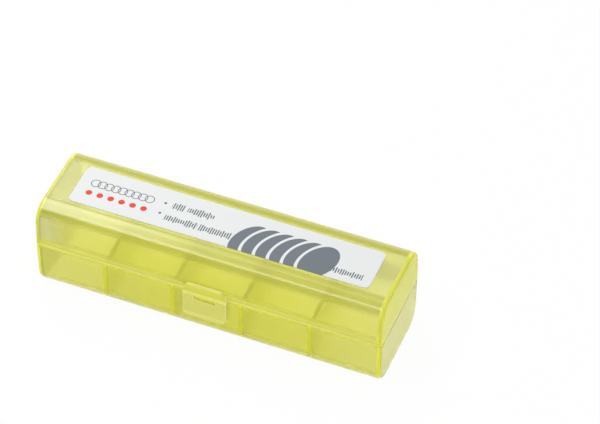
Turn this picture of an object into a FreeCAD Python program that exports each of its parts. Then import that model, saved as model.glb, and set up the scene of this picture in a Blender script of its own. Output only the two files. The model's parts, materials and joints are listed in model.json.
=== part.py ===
import FreeCAD, Part
import math
import os
from FreeCAD import Vector

# The case as a whole: a divided tray, a lid of the same plan and three thin straps that join them.
# The origin is the middle of the face it rests on, +X is along the case, -Y is the catch side.
case_length = 93.0
case_width = 25.8
tray_height = 14.3
lid_height = 12.0
parting_gap = 0.1
draft_angle = 0.8

# Walls and roundings of the two shells
tray_wall = 1.2
tray_floor = 1.2
lid_wall = 1.2
lid_roof = 1.2
long_corner_radius = 5.0
end_corner_radius = 0.9
rim_edge_radius = 0.3
lid_corner_radius = 0.4

# The row of cells in the tray
cell_count = 5
divider_thickness = 1.0

# The step inside each rear rim, where the two halves of the mould meet
rear_step_depth = 1.5
rear_step_recess = 0.25
rear_step_inset = 0.8

# The straps that bend as the hinge, and the notches that they sit in
hinge_end_distance = 8.5
hinge_notch_width = 9.0
hinge_notch_depth = 3.0
strap_width = 7.8
strap_thickness = 0.4
strap_clearance = 0.06

# The catch tab on the lid, its pad and window, and the catch on the tray
tab_width = 11.8
tab_drop = 7.1
tab_thickness = 0.8
tab_clearance = 0.25
tab_corner_radius = 1.6
tab_edge_radius = 0.25
lip_height = 1.4
lip_projection = 0.4
lip_edge = 0.5
pad_height = 3.4
pad_projection = 0.9
pad_corner_radius = 2.0
pad_edge_radius = 0.6
window_width = 5.8
window_height = 1.5
window_drop = 0.05
window_clearance = 0.2
catch_projection = 0.5

# The label on the lid's roof, and the film of adhesive that holds it
label_length = 80.4
label_width = 13.0
label_thickness = 0.13
adhesive_thickness = 0.02
label_corner_radius = 1.5
label_centre_y = 0.2

# Places that follow from the sizes above
lid_rim_height = tray_height + parting_gap
case_height = lid_rim_height + lid_height
front_face = -case_width / 2
rear_face = case_width / 2
hinge_reach = case_length / 2 - hinge_end_distance
hinge_places = {"left": -hinge_reach, "middle": 0.0, "right": hinge_reach}
fold_inset = strap_thickness / 2 + strap_clearance
lower_fold_height = tray_height - hinge_notch_depth + fold_inset
upper_fold_height = lid_rim_height + hinge_notch_depth - fold_inset
fold_place = rear_face - strap_thickness / 2

# How far a cutting block reaches past the face that it opens
overcut = 1.0


def edges_where(shape, wanted):
    """The edges of a shape whose two ends both pass the test."""
    return [edge for edge in shape.Edges if all(wanted(vertex.Point) for vertex in edge.Vertexes)]


def box(length, width, height, centre_x, low_y, low_z):
    """A plain block, centred along the case and placed by its front and lower faces."""
    return Part.makeBox(length, width, height, Vector(centre_x - length / 2, low_y, low_z))


def drafted_block(length, width, height, long_radius, end_radius=0.0):
    """A block that narrows towards its foot at z = 0, with its long lower edges and its ends rounded."""
    inset = height * math.tan(math.radians(draft_angle))
    foot_x = length / 2 - inset
    foot_y = width / 2 - inset
    block = Part.makeWedge(
        -foot_x, 0, -foot_y, -width / 2, -length / 2,
        foot_x, height, foot_y, width / 2, length / 2,
    )
    block.rotate(Vector(0, 0, 0), Vector(1, 0, 0), 90)
    along = [
        edge for edge in edges_where(block, lambda point: abs(point.z) < 1e-6)
        if abs(edge.tangentAt(edge.FirstParameter).x) > 0.9
    ]
    block = block.makeFillet(long_radius, along)
    if end_radius == 0.0:
        return block
    around_ends = [
        edge for face in block.Faces if abs(face.normalAt(0, 0).x) > 0.9
        for edge in face.Edges if min(vertex.Point.z for vertex in edge.Vertexes) < height - 1e-6
    ]
    return block.makeFillet(end_radius, around_ends)


def outer_shell(height):
    """The outside of a shell, rim up, with the outer edge of its rim eased."""
    block = drafted_block(case_length, case_width, height, long_corner_radius, end_corner_radius)
    rim = edges_where(block, lambda point: point.z > height - 1e-6)
    return block.makeFillet(rim_edge_radius, rim)


def cavity(length, wall, depth, end_radius=0.0):
    """A hollow between the walls of a shell, mouth up, with a shallow step along its rear rim."""
    hollow = drafted_block(length, case_width - 2 * wall, depth, long_corner_radius - wall, end_radius)
    step = box(
        length - 2 * rear_step_inset, wall, rear_step_depth,
        0, rear_face - 2 * wall + rear_step_recess, depth - rear_step_depth,
    )
    return hollow.fuse(step)


def hinge_notches(low_z, high_z):
    """The three gaps in a rear wall that leave room for the straps."""
    depth = tray_wall + lid_wall
    return [
        box(hinge_notch_width, depth + overcut, high_z - low_z, place, rear_face - depth, low_z)
        for place in hinge_places.values()
    ]


def upright_plate(width, low_z, high_z, low_y, high_y, lower_radius, upper_radius):
    """A plate that faces the front, with its lower and upper corners rounded in front view."""
    plate = box(width, high_y - low_y, high_z - low_z, 0, low_y, low_z)
    for height, radius in ((low_z, lower_radius), (high_z, upper_radius)):
        if radius > 0:
            corners = [
                edge for edge in edges_where(plate, lambda point: abs(point.z - height) < 1e-6)
                if abs(edge.tangentAt(edge.FirstParameter).y) > 0.9
            ]
            plate = plate.makeFillet(radius, corners)
    return plate


# The tray: five cells in one moulding, with dividers as high as the rim
tray = outer_shell(tray_height)
cell_length = (case_length - 2 * tray_wall - (cell_count - 1) * divider_thickness) / cell_count
cell_pitch = cell_length + divider_thickness
cell_depth = tray_height - tray_floor
for number in range(cell_count):
    cell = cavity(cell_length, tray_wall, cell_depth)
    cell.translate(Vector((number - (cell_count - 1) / 2) * cell_pitch, 0, tray_floor))
    tray = tray.cut(cell)
for notch in hinge_notches(tray_height - hinge_notch_depth, tray_height + overcut):
    tray = tray.cut(notch)

# The catch: a bead with a ramp above, which the window of the tab drops over
window_top = tray_height - window_drop
window_bottom = window_top - window_height
catch_top = window_top - window_clearance
catch_bottom = window_bottom + window_clearance
catch_width = window_width - 2 * window_clearance
bead_outline = Part.makePolygon([
    Vector(-catch_width / 2, front_face + tray_wall / 2, catch_top),
    Vector(-catch_width / 2, front_face - catch_projection / 2, catch_top),
    Vector(-catch_width / 2, front_face - catch_projection, (catch_top + catch_bottom) / 2),
    Vector(-catch_width / 2, front_face - catch_projection, catch_bottom),
    Vector(-catch_width / 2, front_face + tray_wall / 2, catch_bottom),
    Vector(-catch_width / 2, front_face + tray_wall / 2, catch_top),
])
catch_bead = Part.Face(bead_outline).extrude(Vector(catch_width, 0, 0))
tray = tray.fuse(catch_bead).removeSplitter()

# The lid: one hollow above all the cells
lid = outer_shell(lid_height)
lid_hollow = cavity(case_length - 2 * lid_wall, lid_wall, lid_height - lid_roof, lid_corner_radius)
lid = lid.cut(lid_hollow.translated(Vector(0, 0, lid_roof)))
lid = lid.mirror(Vector(0, 0, 0), Vector(0, 0, 1))
lid.translate(Vector(0, 0, case_height))
for notch in hinge_notches(lid_rim_height - overcut, lid_rim_height + hinge_notch_depth):
    lid = lid.cut(notch)

# The pad above the parting line and the tab that hangs from it over the tray
pad = upright_plate(
    tab_width, lid_rim_height, lid_rim_height + pad_height,
    front_face - pad_projection, front_face + lid_wall / 2, 0, pad_corner_radius,
)
pad_face_edges = [
    edge for edge in edges_where(pad, lambda point: abs(point.y - front_face + pad_projection) < 1e-6)
    if max(vertex.Point.z for vertex in edge.Vertexes) > lid_rim_height + 1e-6
]
pad = pad.makeFillet(pad_edge_radius, pad_face_edges)
tab_back = front_face - tab_clearance
tab_face = tab_back - tab_thickness
tab_bottom = tray_height - tab_drop
tab = upright_plate(tab_width, tab_bottom, lid_rim_height + tab_edge_radius, tab_face, tab_back, tab_corner_radius, 0)
tab_face_edges = edges_where(tab, lambda point: abs(point.y - tab_face) < 1e-6)
tab = tab.makeFillet(tab_edge_radius, tab_face_edges)

# The lip along the foot of the tab, which slopes out to give a fingertip its hold
lip_face = tab_face - lip_projection
lip_top = tab_bottom + lip_height
lip = upright_plate(tab_width, tab_bottom, lid_rim_height, lip_face, tab_back, tab_corner_radius, 0)
above_slope = Part.Face(Part.makePolygon([
    Vector(-tab_width, lip_face - overcut, tab_bottom + lip_edge),
    Vector(-tab_width, lip_face, tab_bottom + lip_edge),
    Vector(-tab_width, tab_face, lip_top),
    Vector(-tab_width, tab_back + overcut, lip_top),
    Vector(-tab_width, tab_back + overcut, lid_rim_height + overcut),
    Vector(-tab_width, lip_face - overcut, lid_rim_height + overcut),
    Vector(-tab_width, lip_face - overcut, tab_bottom + lip_edge),
])).extrude(Vector(2 * tab_width, 0, 0))
window = box(window_width, tab_thickness + 2 * overcut, window_height, 0, tab_face - overcut, window_bottom)
lid = lid.fuse([pad, tab.cut(window), lip.cut(above_slope)]).removeSplitter()

# The straps: thin strips with round ends, one bend line at each end
straps = {}
for side, place in hinge_places.items():
    radius = strap_thickness / 2
    strip = box(
        strap_width, strap_thickness, upper_fold_height - lower_fold_height,
        place, fold_place - radius, lower_fold_height,
    )
    start = place - strap_width / 2
    ends = [
        Part.makeCylinder(radius, strap_width, Vector(start, fold_place, height), Vector(1, 0, 0))
        for height in (lower_fold_height, upper_fold_height)
    ]
    straps["hinge_strap_" + side] = strip.fuse(ends).removeSplitter()

# The label: a thin rounded rectangle stuck on the flat of the roof
label_bottom = case_height + adhesive_thickness
label = box(label_length, label_width, label_thickness, 0, label_centre_y - label_width / 2, label_bottom)
label_corners = [
    edge for edge in label.Edges if abs(edge.tangentAt(edge.FirstParameter).z) > 0.9
]
label = label.makeFillet(label_corner_radius, label_corners)

os.makedirs("parts", exist_ok=True)
pieces = {"base_tray": tray, "lid": lid, "label": label}
pieces.update(straps)
for name, shape in pieces.items():
    solid = shape.Solids[0]
    print(name, len(shape.Solids), shape.isValid(), round(shape.Volume, 2), shape.BoundBox)
    solid.exportStep("parts/" + name + ".step")
print("bend lines at y", fold_place, "z", lower_fold_height, upper_fold_height)
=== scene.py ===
import json
import math

import bpy
from mathutils import Matrix, Vector

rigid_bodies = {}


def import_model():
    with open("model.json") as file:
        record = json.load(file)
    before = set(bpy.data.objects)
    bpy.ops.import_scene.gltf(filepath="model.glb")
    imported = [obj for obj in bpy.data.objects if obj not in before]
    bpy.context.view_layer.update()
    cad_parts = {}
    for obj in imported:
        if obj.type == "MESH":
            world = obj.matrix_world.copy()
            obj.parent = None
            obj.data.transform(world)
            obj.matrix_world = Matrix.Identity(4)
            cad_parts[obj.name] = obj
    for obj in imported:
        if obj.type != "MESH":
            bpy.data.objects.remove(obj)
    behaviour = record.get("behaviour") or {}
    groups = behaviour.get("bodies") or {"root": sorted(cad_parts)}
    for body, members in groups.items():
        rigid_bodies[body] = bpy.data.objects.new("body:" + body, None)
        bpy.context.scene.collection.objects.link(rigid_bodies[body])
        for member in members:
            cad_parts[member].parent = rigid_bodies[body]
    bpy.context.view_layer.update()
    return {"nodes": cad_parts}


for spare in list(bpy.data.objects):
    bpy.data.objects.remove(spare)
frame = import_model()
nodes = frame["nodes"]


# Tray: one moulding in see-through yellow plastic, five cells in a row under one rim.
# Its outside comes satin from the mould, so it blurs what is behind it and its edges collect colour.
class Field:
    """One output in a material's node tree. Arithmetic on it adds Math nodes."""

    def __init__(self, tree, output=None):
        self.tree = tree
        self.output = output

    def node(self, kind, inputs, output=0, stops=(), **settings):
        """Adds a node, sets it up, fills or links its inputs, and gives back one of its outputs."""
        made = self.tree.nodes.new("ShaderNode" + kind)
        for name, setting in settings.items():
            setattr(made, name, setting)
        for number, (place, colour) in enumerate(stops):
            ramp = made.color_ramp.elements
            stop = ramp[number] if number < len(ramp) else ramp.new(place)
            stop.position = place
            stop.color = colour
        for key, value in inputs.items():
            if isinstance(value, Field):
                self.tree.links.new(value.output, made.inputs[key])
            else:
                made.inputs[key].default_value = value
        return Field(self.tree, made.outputs[output] if made.outputs else None)

    def math(self, operation, *others, clamp=False):
        values = dict(enumerate((self, *others)))
        return self.node("Math", values, operation=operation, use_clamp=clamp)

    def other(self, name):
        """Another output of the same node."""
        return Field(self.tree, self.output.node.outputs[name])

    def mix(self, low, high):
        """A colour that goes from low to high as this field goes from 0 to 1."""
        inputs = {"Factor": self, 6: low, 7: high}
        return self.node("Mix", inputs, output=2, data_type="RGBA", clamp_factor=True)

    def __add__(self, other):
        return self.math("ADD", other)

    def __sub__(self, other):
        return self.math("SUBTRACT", other)

    def __rsub__(self, other):
        return self.math("MULTIPLY_ADD", -1.0, other)

    def __mul__(self, other):
        return self.math("MULTIPLY", other)

    def __truediv__(self, other):
        return self.math("DIVIDE", other)

    __radd__ = __add__
    __rmul__ = __mul__


def new_finish(name):
    """An empty material, the field that adds nodes to it, and the place on the object."""
    material = bpy.data.materials.new(name)
    material.use_nodes = True
    material.node_tree.nodes.clear()
    start = Field(material.node_tree)
    return material, start, start.node("TexCoord", {}, output="Object")


def in_millimetres(place):
    """The three coordinates of a place."""
    axes = place.node("SeparateXYZ", {"Vector": place})
    return [axes.other(axis) * 1000.0 for axis in "XYZ"]


def fading(distance, near, far):
    """1 up to a near distance, 0 beyond a far one."""
    inputs = {"Value": distance, "From Min": near, "From Max": far, "To Min": 1.0, "To Max": 0.0}
    return distance.node("MapRange", inputs, interpolation_type="SMOOTHSTEP")


def length_of(x, y):
    """The length of the vector x, y."""
    return (x * x + y * y).math("SQRT")


def repeated(value, first, pitch):
    """The place inside one step of a row, measured from the step's middle, and the step's number."""
    steps = (value - first) / pitch
    number = steps.math("FLOOR")
    return (steps - number - 0.5) * pitch, number


def wall_depth(y, from_closed_face):
    """How deep a point lies inside the outline of a shell seen along the case."""
    side = y.math("ABSOLUTE") - (HALF_WIDTH - LONG_RADIUS)
    foot = LONG_RADIUS - from_closed_face
    corner = length_of(side.math("MAXIMUM", 0.0), foot.math("MAXIMUM", 0.0))
    return LONG_RADIUS - corner - side.math("MAXIMUM", foot).math("MINIMUM", 0.0)


def end_faces(x, y, z):
    """The flat ends of the case, which come duller from the mould than its long sides."""
    return fading(HALF_LENGTH - x.math("ABSOLUTE"), 0.25, 0.45)


def side_faces(x, y, z):
    """The upright long sides, between the roundings."""
    return fading(HALF_WIDTH - y.math("ABSOLUTE"), 0.15, 0.5)


def clear_plastic(name, roughness, milkiness, glow_places):
    """Satin see-through plastic: cloudy flow marks, a fine mould grain, and edges that collect light.

    Each glow place is a mask of the place in millimetres, the colour that shows there and its strength.
    Some of the places paint highlights and shade into the colour.
    """
    material, start, place = new_finish(name)
    flow = start.node(
        "TexNoise", {"Vector": place, "Scale": FLOW_SCALE, "Detail": 3.0, "Roughness": 0.55}, output="Fac"
    )
    grain = start.node(
        "TexNoise", {"Vector": place, "Scale": GRAIN_SCALE, "Detail": 2.0, "Roughness": 0.6}, output="Fac"
    )
    bump = start.node("Bump", {"Strength": GRAIN_STRENGTH, "Distance": GRAIN_HEIGHT, "Height": grain})
    x, y, z = in_millimetres(place)
    # Painted light: the shell is tinted paler towards both ends and deeper in the middle; the flow marks
    # vary it at random.
    tone = MIDDLE_TONE * fading(x.math("ABSOLUTE"), *PAINTED_LIGHT_ENDS) + FLOW_TONE * (flow - 0.5)
    matting = (END_MATTING * end_faces(x, y, z)).math("MAXIMUM", SIDE_MATTING * side_faces(x, y, z))
    gloss = {
        "Roughness": roughness + (grain - 0.5) * GRAIN_GLOSS,
        "IOR": PLASTIC_IOR,
        "Coat Weight": POLISH * (1.0 - matting),
        "Coat Roughness": COAT_ROUGHNESS,
        "Coat IOR": COAT_IOR,
        "Normal": bump,
    }
    see_through = {"Base Color": tone.mix(SHELL_PALE, SHELL_DEEP), "Transmission Weight": 1.0 - milkiness}
    body = start.node("BsdfPrincipled", {**gloss, **see_through})
    glow = 0.0
    glow_colour = EDGE_YELLOW
    for find_mask, colour, strength in glow_places:
        mask = find_mask(x, y, z)
        glow = (mask * strength).math("MAXIMUM", glow)
        glow_colour = mask.mix(glow_colour, colour)
    edge = start.node("BsdfPrincipled", {**gloss, "Base Color": glow_colour})
    surface = start.node("MixShader", {0: glow, 1: body, 2: edge})
    inside = start.node("VolumeAbsorption", {"Color": SHELL_ABSORBED, "Density": SHELL_DENSITY})
    start.node("OutputMaterial", {"Surface": surface, "Volume": inside})
    return material


def put_on(node_name, material):
    """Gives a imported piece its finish."""
    for slot in nodes[node_name].material_slots:
        slot.material = material


HALF_LENGTH = 46.5
HALF_WIDTH = 12.9
LONG_RADIUS = 5.0
TRAY_HEIGHT = 14.3
DIVIDER_PITCH = 18.32

FLOW_SCALE = 45.0
GRAIN_SCALE = 2600.0
GRAIN_STRENGTH = 0.015
GRAIN_HEIGHT = 0.00002
GRAIN_GLOSS = 0.06
POLISH = 0.6
END_MATTING = 0.9
SIDE_MATTING = 0.7
PLASTIC_IOR = 1.28
COAT_IOR = 1.65
COAT_ROUGHNESS = 0.19
# Painted light: the shell's tint deepens towards the middle and pales towards both ends.
MIDDLE_TONE = 0.8
FLOW_TONE = 0.5
PAINTED_LIGHT_ENDS = (14.0, 45.0)
SHELL_PALE = (0.965, 0.96, 0.72, 1.0)
SHELL_DEEP = (0.925, 0.922, 0.36, 1.0)
SHELL_ABSORBED = (0.998, 0.997, 0.06, 1.0)
SHELL_DENSITY = 300.0
EDGE_YELLOW = (0.96, 0.96, 0.075, 1.0)
DIVIDER_YELLOW = (0.77, 0.765, 0.008, 1.0)
SKIN_YELLOW = (0.84, 0.825, 0.08, 1.0)
FOOT_YELLOW = (0.92, 0.91, 0.02, 1.0)
END_YELLOW = (0.96, 0.96, 0.008, 1.0)
END_PALE = (0.98, 0.97, 0.30, 1.0)


def tray_ends(x, y, z):
    """The edges round both ends of the tray."""
    from_end = HALF_LENGTH - x.math("ABSOLUTE")
    return fading(from_end.math("MAXIMUM", wall_depth(y, z)), 1.0, 1.7)


def tray_rim(x, y, z):
    """The flat rim and its eased outer edge."""
    return fading(TRAY_HEIGHT - z, 0.1, 0.45)


def divider_ends(x, y, z):
    """Where the dividers meet the long walls and the floor."""
    from_divider, _ = repeated(x, 0.0, DIVIDER_PITCH)
    return fading(from_divider.math("ABSOLUTE"), 0.3, 0.65) * fading(wall_depth(y, z), 1.0, 1.3)


def tray_skin(x, y, z):
    """The outside of the tray, where the mould's satin surface scatters light."""
    from_end = HALF_LENGTH - x.math("ABSOLUTE")
    return fading(from_end.math("MINIMUM", wall_depth(y, z)), 0.4, 0.6)


def tray_foot(x, y, z):
    """The lower roundings, seen through so much plastic that they look solid."""
    from_side = HALF_WIDTH - y.math("ABSOLUTE")
    return fading(from_side.math("MAXIMUM", z), 2.0, 3.0) * fading(wall_depth(y, z), 0.4, 0.8)


def catch_bead(x, y, z):
    """The bead that the snap tab drops over."""
    return fading(y + HALF_WIDTH, -0.06, -0.02)


tray_plastic = clear_plastic("satin_yellow_tray", 0.24, 0.03, (
    (tray_skin, SKIN_YELLOW, 0.30),
    (end_faces, END_PALE, 0.6),
    (tray_foot, FOOT_YELLOW, 0.35),
    (divider_ends, DIVIDER_YELLOW, 0.85),
    (tray_rim, EDGE_YELLOW, 0.7),
    (tray_ends, EDGE_YELLOW, 0.65),
    (catch_bead, EDGE_YELLOW, 0.9),
))
put_on("base_tray", tray_plastic)


# Lid: a second moulding in the same plastic, a plain hollow cover with the snap tab in its front wall.
# It shuts on the tray's rim, and the tab's window drops over the catch.
LID_RIM = 14.4
CASE_HEIGHT = 26.4
TAB_HALF_WIDTH = 5.9
TAB_BOTTOM = 7.2
PAD_TOP = 17.8
WINDOW_HALF_WIDTH = 2.9
WINDOW_HEIGHTS = (12.75, 14.25)
LIP_HEIGHT = 1.4
# Painted highlight for the lid's rim.
RIM_PAINTED_HIGHLIGHT = (0.98, 0.97, 0.25, 1.0)
TAB_PALE = (0.99, 0.98, 0.28, 1.0)
# Painted highlights for the tab's lip and outline.
TAB_PAINTED_HIGHLIGHT = (1.0, 0.99, 0.34, 1.0)
PAD_YELLOW = (1.0, 0.98, 0.13, 1.0)
BACK_START = 7.6
# Painted shade for the back rounding of the roof: a band and a darker line.
BACK_PAINTED_SHADE = (0.62, 0.615, 0.07, 1.0)
BACK_SHADE = (0.50, 0.51, 0.05, 1.0)
# Painted sheen for the flat of the roof.
ROOF_PAINTED_SHEEN = (0.86, 0.85, 0.32, 1.0)
# Painted shade for the front rounding of the roof.
FRONT_PAINTED_SHADE = (0.48, 0.48, 0.012, 1.0)
# Painted glow for the wall just above the lid's rim.
FOOT_PAINTED_GLOW = (0.99, 0.985, 0.16, 1.0)
# Painted sheen for the left of the lid.
LEFT_PAINTED_SHEEN = (0.99, 0.985, 0.55, 1.0)
LEFT_FADE = (3.0, 11.0)


def lid_ends(x, y, z):
    """The edges round both ends of the lid."""
    from_end = HALF_LENGTH - x.math("ABSOLUTE")
    return fading(from_end.math("MAXIMUM", wall_depth(y, CASE_HEIGHT - z)), 1.0, 1.7)


def lid_rim_painted_highlight(x, y, z):
    """Painted highlight: the lid's rim is painted bright, where light runs down the wall to it."""
    return fading(z - LID_RIM, 0.7, 1.1) * fading(LID_RIM - z, 0.1, 0.2)


def lid_foot_painted_glow(x, y, z):
    """Painted glow: the wall just above the rim is painted paler, where the light that runs down it
    gathers.
    """
    return fading(z - LID_RIM, 1.9, 3.4)


def lid_left_painted_sheen(x, y, z):
    """Painted light: the left of the lid is painted paler, a painted sheen for the light that comes
    through the end wall.
    """
    return fading(x + HALF_LENGTH, *LEFT_FADE) * fading(y + HALF_WIDTH, 0.5, 3.0)


def lid_back_painted_shade(x, y, z):
    """Painted shade: a darker band along the rounding at the back of the roof, where the far wall is seen
    on edge.
    """
    rounding = fading(BACK_START - y, 0.0, 0.3) * fading(CASE_HEIGHT - z, 2.8, 3.8)
    return rounding * fading(wall_depth(y, CASE_HEIGHT - z), 0.4, 0.8)


def lid_roof_painted_sheen(x, y, z):
    """Painted sheen: the flat of the roof is painted paler, for the overhead light that it reflects."""
    return fading(CASE_HEIGHT - z, 0.05, 0.2)


def lid_front_painted_shade(x, y, z):
    """Painted shade: the rounding between the roof and the front wall is darkened where the label's shadow
    falls inside the case.
    """
    rounding = fading(y + HALF_WIDTH, 5.2, 6.4) * fading(CASE_HEIGHT - z, 1.3, 3.5)
    return rounding * fading(wall_depth(y, CASE_HEIGHT - z), 0.4, 0.8)


def back_painted_shade_line(x, y, z):
    """Painted shade: a darker line where that rounding starts, and the hollow's corner shows through."""
    return lid_back_painted_shade(x, y, z) * fading(y, 8.4, 9.6)


def lid_skin(x, y, z):
    """The outside of the lid, satin like the tray's."""
    from_end = HALF_LENGTH - x.math("ABSOLUTE")
    return fading(from_end.math("MINIMUM", wall_depth(y, CASE_HEIGHT - z)), 0.4, 0.6)


def snap_tab(x, y, z):
    """All of the tab, where it stands clear of the wall behind."""
    return fading(y + HALF_WIDTH, -0.15, -0.05)


def pad_face(x, y, z):
    """The pad above the rim, thick enough to show the plastic's full colour."""
    return snap_tab(x, y, z) * fading(LID_RIM - z, -0.4, -0.2)


def tab_lip_painted_highlight(x, y, z):
    """Painted highlight: the sloping lip along the tab's foot is painted bright, where it catches the
    light.
    """
    return snap_tab(x, y, z) * fading(z - TAB_BOTTOM, LIP_HEIGHT - 0.3, LIP_HEIGHT)


def tab_outline_painted_highlight(x, y, z):
    """Painted highlights along the tab's sides, lip and window, and the top of the pad above it."""
    from_side = TAB_HALF_WIDTH - x.math("ABSOLUTE")
    from_outline = from_side.math("MINIMUM", z - TAB_BOTTOM).math("MINIMUM", PAD_TOP - z)
    middle = (WINDOW_HEIGHTS[0] + WINDOW_HEIGHTS[1]) / 2
    beside = x.math("ABSOLUTE") - WINDOW_HALF_WIDTH
    above = (z - middle).math("ABSOLUTE") - (WINDOW_HEIGHTS[1] - WINDOW_HEIGHTS[0]) / 2
    from_window = beside.math("MAXIMUM", above)
    return fading(from_outline.math("MINIMUM", from_window), 0.1, 0.8) * snap_tab(x, y, z)


# Painted light among these places: a sheen on the left and on the roof, shade on the front and back
# roundings, a glow just above the rim, and highlights on the rim and on the tab's lip and outline.
lid_plastic = clear_plastic("satin_yellow_lid", 0.24, 0.03, (
    (lid_skin, SKIN_YELLOW, 0.30),
    (lid_left_painted_sheen, LEFT_PAINTED_SHEEN, 0.35),
    (end_faces, END_YELLOW, 0.78),
    (lid_roof_painted_sheen, ROOF_PAINTED_SHEEN, 0.32),
    (lid_front_painted_shade, FRONT_PAINTED_SHADE, 0.62),
    (lid_back_painted_shade, BACK_PAINTED_SHADE, 0.85),
    (back_painted_shade_line, BACK_SHADE, 0.85),
    (lid_foot_painted_glow, FOOT_PAINTED_GLOW, 0.5),
    (lid_rim_painted_highlight, RIM_PAINTED_HIGHLIGHT, 0.8),
    (lid_ends, EDGE_YELLOW, 0.65),
    (snap_tab, TAB_PALE, 0.35),
    (pad_face, PAD_YELLOW, 0.5),
    (tab_lip_painted_highlight, TAB_PAINTED_HIGHLIGHT, 0.6),
    (tab_outline_painted_highlight, TAB_PAINTED_HIGHLIGHT, 0.65),
))
put_on("lid", lid_plastic)


# Hinge straps: three short strips of softer plastic that bend where they leave each shell.
# The strips go pale along the lines where they fold.
STRAP_PALE = (0.93, 0.935, 0.92, 1.0)
STRAP_DEEP = (0.96, 0.96, 0.94, 1.0)
FOLD_HEIGHTS = (11.56, 17.14)
STRAP_MARK_PITCH = 1.1
STRAP_MARK_DEPTH = 0.3


def fold_lines(x, y, z):
    """The two lines along which a strap bends."""
    from_lower, from_upper = [(z - height).math("ABSOLUTE") for height in FOLD_HEIGHTS]
    return fading(from_lower.math("MINIMUM", from_upper), 0.3, 0.8)


def whole_strap(x, y, z):
    """The strap between its folds, with faint marks across it."""
    ripple = (z * (2 * math.pi / STRAP_MARK_PITCH)).math("SINE")
    return 1.0 - STRAP_MARK_DEPTH + STRAP_MARK_DEPTH * ripple


strap_plastic = clear_plastic("pale_strap", 0.30, 0.4, (
    (whole_strap, STRAP_DEEP, 0.7),
    (fold_lines, STRAP_PALE, 0.9),
))
for strap in ("hinge_strap_left", "hinge_strap_middle", "hinge_strap_right"):
    put_on(strap, strap_plastic)


# Label: a printed white film with rounded corners, stuck along the middle of the roof.
# The print is plain shapes: a chain of rings over six dots, two rows of ticks, and a leaning row of discs.
FILM_WHITE = (0.785, 0.805, 0.798, 1.0)
FILM_SHADE = (0.765, 0.79, 0.783, 1.0)
INK_GREY = (0.140, 0.165, 0.190, 1.0)
INK_DARK = (0.105, 0.120, 0.135, 1.0)
INK_RED = (0.78, 0.040, 0.012, 1.0)
PRINT_BLUR = 0.06
FILM_ROUGHNESS = 0.42
FILM_MOTTLE = 0.12

DOT_START = -37.73
DOT_PITCH = 2.98
DOT_COUNT = 6
DOT_Y = -2.0
DOT_RADIUS = 0.85

RING_START = -37.2
RING_END = -19.9
RING_COUNT = 9
RING_Y = 1.6
RING_RADIUS = 1.3
RING_LINE = 0.11

TICK_PITCH = 0.62
TICK_WIDTH = 0.34
TICK_ROWS = (
    {"y": 1.8, "height": 2.5, "bullet": (-17.0, 1.9), "words": ((-15.1, -11.7), (-10.9, -3.6))},
    {"y": -2.7, "height": 2.5, "bullet": (-17.0, -1.8), "words": ((-15.3, -6.6), (-6.0, 2.6))},
    {"y": -3.4, "height": 2.1, "bullet": None, "words": ((29.4, 37.6),)},
)
BULLET_RADIUS = 0.36

DISC_LEFT = 2.95
DISC_RIGHT = 30.0
DISC_COUNT = 6
DISC_TOP = 3.4
DISC_HALF_WIDTH = 4.3
DISC_HALF_HEIGHT = 5.9
DISC_GAP = 0.75
DISC_LEAN = 0.24

label_film, start, place = new_finish("printed_label_film")
across, upward, _ = in_millimetres(place)


def inside(distance):
    """1 where a signed distance in millimetres is below zero, with a print's soft edge."""
    return (distance / PRINT_BLUR).math("MULTIPLY_ADD", -1.0, 0.5, clamp=True)


def between(value, low, high):
    """1 where a value lies between two edges."""
    middle = (low + high) / 2
    return inside((value - middle).math("ABSOLUTE") - (high - low) / 2)


dot_x, _ = repeated(across, DOT_START, DOT_PITCH)
dots = inside(length_of(dot_x, upward - DOT_Y) - DOT_RADIUS)
dots = dots * between(across, DOT_START, DOT_START + DOT_COUNT * DOT_PITCH)

ring_pitch = (RING_END - RING_START - 2 * RING_RADIUS) / (RING_COUNT - 1)
rings = 0.0
for number in range(RING_COUNT):
    centre = RING_START + RING_RADIUS + number * ring_pitch
    line = length_of(across - centre, upward - RING_Y) - (RING_RADIUS - RING_LINE)
    ring = inside(line.math("ABSOLUTE") - RING_LINE)
    rings = ring.math("MAXIMUM", rings)

ticks = 0.0
tick_x, tick_number = repeated(across, 0.0, TICK_PITCH)
for row in TICK_ROWS:
    chance = start.node(
        "TexWhiteNoise", {"W": tick_number + row["y"] * 31.0}, output="Value", noise_dimensions="1D"
    )
    offset = upward - row["y"]
    height = (0.45 + 0.55 * chance) * (row["height"] / 2)
    marks = inside(tick_x.math("ABSOLUTE") - TICK_WIDTH / 2)
    marks = marks * inside(offset.math("ABSOLUTE") - height)
    for left, right in row["words"]:
        word = marks * between(across, left, right)
        ticks = word.math("MAXIMUM", ticks)
    if row["bullet"]:
        bullet_x, bullet_y = row["bullet"]
        bullet = inside(length_of(across - bullet_x, upward - bullet_y) - BULLET_RADIUS)
        ticks = bullet.math("MAXIMUM", ticks)

discs = 0.0
disc_y = DISC_TOP - DISC_HALF_HEIGHT
disc_pitch = (DISC_RIGHT - DISC_LEFT - 2 * DISC_HALF_WIDTH) / (DISC_COUNT - 1)
for number in range(DISC_COUNT):
    centre = DISC_LEFT + DISC_HALF_WIDTH + number * disc_pitch
    lean = (upward - disc_y) * DISC_LEAN
    around = length_of(
        (across - centre - lean) / DISC_HALF_WIDTH, (upward - disc_y) / DISC_HALF_HEIGHT
    )
    distance = (around - 1.0) * DISC_HALF_WIDTH
    discs = discs * (1.0 - inside(distance - DISC_GAP)) + inside(distance)

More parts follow.
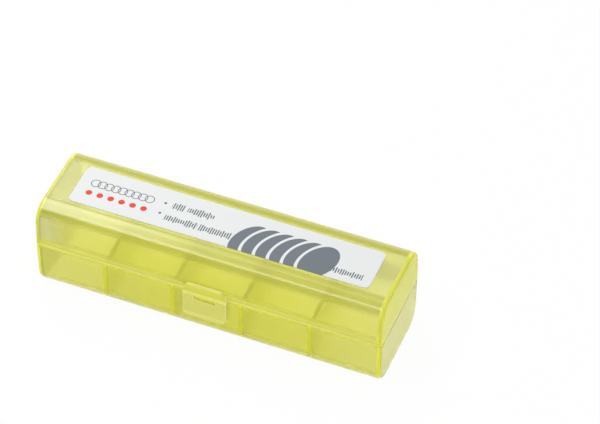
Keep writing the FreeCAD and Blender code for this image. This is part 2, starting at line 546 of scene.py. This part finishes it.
mottle = start.node("TexNoise", {"Vector": place, "Scale": 700.0, "Detail": 3.0}, output="Fac")
colour = mottle.mix(FILM_WHITE, FILM_SHADE)
colour = discs.mix(colour, INK_GREY)
colour = rings.mix(colour, INK_DARK)
colour = ticks.mix(colour, INK_DARK)
colour = dots.mix(colour, INK_RED)
film_bump = start.node("Bump", {"Strength": 0.2, "Distance": 0.00002, "Height": mottle})
film_shader = start.node("BsdfPrincipled", {
    "Base Color": colour,
    "Roughness": FILM_ROUGHNESS + FILM_MOTTLE * mottle,
    "IOR": 1.45,
    "Normal": film_bump,
})
start.node("OutputMaterial", {"Surface": film_shader})
put_on("label", label_film)


# Studio: the case lies on a white table in a white room, lit from above by wide soft boxes.
# The table shows white and keeps a faint shadow.
FLOOR_SIZE = 4.0
FLOOR_WHITE = 0.90
FLOOR_GLOW = 0.965
ROOM_LIGHT = 0.46

floor_mesh = bpy.data.meshes.new("floor")
floor_mesh.from_pydata(
    [(x * FLOOR_SIZE, y * FLOOR_SIZE, 0.0) for x, y in ((-1, -1), (1, -1), (1, 1), (-1, 1))],
    [],
    [(0, 1, 2, 3)],
)
floor = bpy.data.objects.new("floor", floor_mesh)
bpy.context.scene.collection.objects.link(floor)

table_finish, start, place = new_finish("white_table")


def shown_rays(field):
    """1 for the rays that see a surface as it is: by eye, in a gloss or through clear plastic."""
    by_eye = field.node("LightPath", {}, output="Is Camera Ray")
    in_gloss = by_eye.other("Is Glossy Ray")
    through_plastic = by_eye.other("Is Transmission Ray")
    return by_eye.math("MAXIMUM", in_gloss).math("MAXIMUM", through_plastic)


matt = start.node("BsdfDiffuse", {"Color": (FLOOR_WHITE, FLOOR_WHITE, FLOOR_WHITE, 1.0)})
glow = start.node("Emission", {"Color": (1.0, 1.0, 1.0, 1.0), "Strength": 1.0})
table_shader = start.node("MixShader", {0: shown_rays(start) * FLOOR_GLOW, 1: matt, 2: glow})
start.node("OutputMaterial", {"Surface": table_shader})
floor_mesh.materials.append(table_finish)

world = bpy.data.worlds.new("white_room")
bpy.context.scene.world = world
world.use_nodes = True
world.node_tree.nodes.clear()
room = Field(world.node_tree)
lit = room.node("Background", {"Color": (1.0, 1.0, 1.0, 1.0), "Strength": ROOM_LIGHT})
white = room.node("Background", {"Color": (1.0, 1.0, 1.0, 1.0), "Strength": 1.0})
room.node("OutputWorld", {"Surface": room.node("MixShader", {0: shown_rays(room), 1: lit, 2: white})})


def soft_box(name, place, size, radiance, turn=0.0):
    """An oblong lamp, tilted and turned to face the case, as bright as given."""
    data = bpy.data.lights.new(name, "AREA")
    data.shape = "RECTANGLE"
    data.size, data.size_y = size
    data.energy = radiance * math.pi * size[0] * size[1]
    lamp = bpy.data.objects.new(name, data)
    tilt = Matrix.Rotation(math.atan2(-place[1], place[2]), 4, "X")
    lamp.matrix_world = Matrix.Translation(Vector(place)) @ tilt @ Matrix.Rotation(turn, 4, "Y")
    bpy.context.scene.collection.objects.link(lamp)


soft_box("front_strip", (-0.145, -0.31, 0.65), (0.20, 0.13), 4.8)
soft_box("middle_strip", (-0.145, 0.21, 0.70), (0.19, 0.12), 2.2)
soft_box("left_box", (-0.315, 0.05, 0.70), (0.15, 0.86), 7.8)
soft_box("back_box", (-0.47, 0.61, 0.69), (0.28, 0.40), 1.5)
soft_box("right_box", (0.45, -0.35, 0.30), (0.50, 0.50), 0.9, turn=math.radians(44.0))

# Camera: a long lens from the front right, looking down at the case.
CAMERA_EYE = Vector((0.21849, -0.50467, 0.58113))
CAMERA_AIM = Vector((0.01117, 0.02161, 0.01603))
CAMERA_ROLL = math.radians(0.744)
CAMERA_LENS = 189.55

camera_data = bpy.data.cameras.new("camera")
camera_data.sensor_width = 36.0
camera_data.lens = CAMERA_LENS
camera_data.clip_start = 0.01
camera = bpy.data.objects.new("camera", camera_data)
facing = (CAMERA_AIM - CAMERA_EYE).to_track_quat("-Z", "Y").to_matrix().to_4x4()
camera.matrix_world = Matrix.Translation(CAMERA_EYE) @ facing @ Matrix.Rotation(CAMERA_ROLL, 4, "Z")
bpy.context.scene.collection.objects.link(camera)
bpy.context.scene.camera = camera

bpy.context.scene.view_settings.view_transform = "Standard"
bpy.context.scene.cycles.max_bounces = 48
bpy.context.scene.cycles.transmission_bounces = 48
bpy.context.scene.cycles.glossy_bounces = 48
bpy.context.scene.cycles.diffuse_bounces = 8
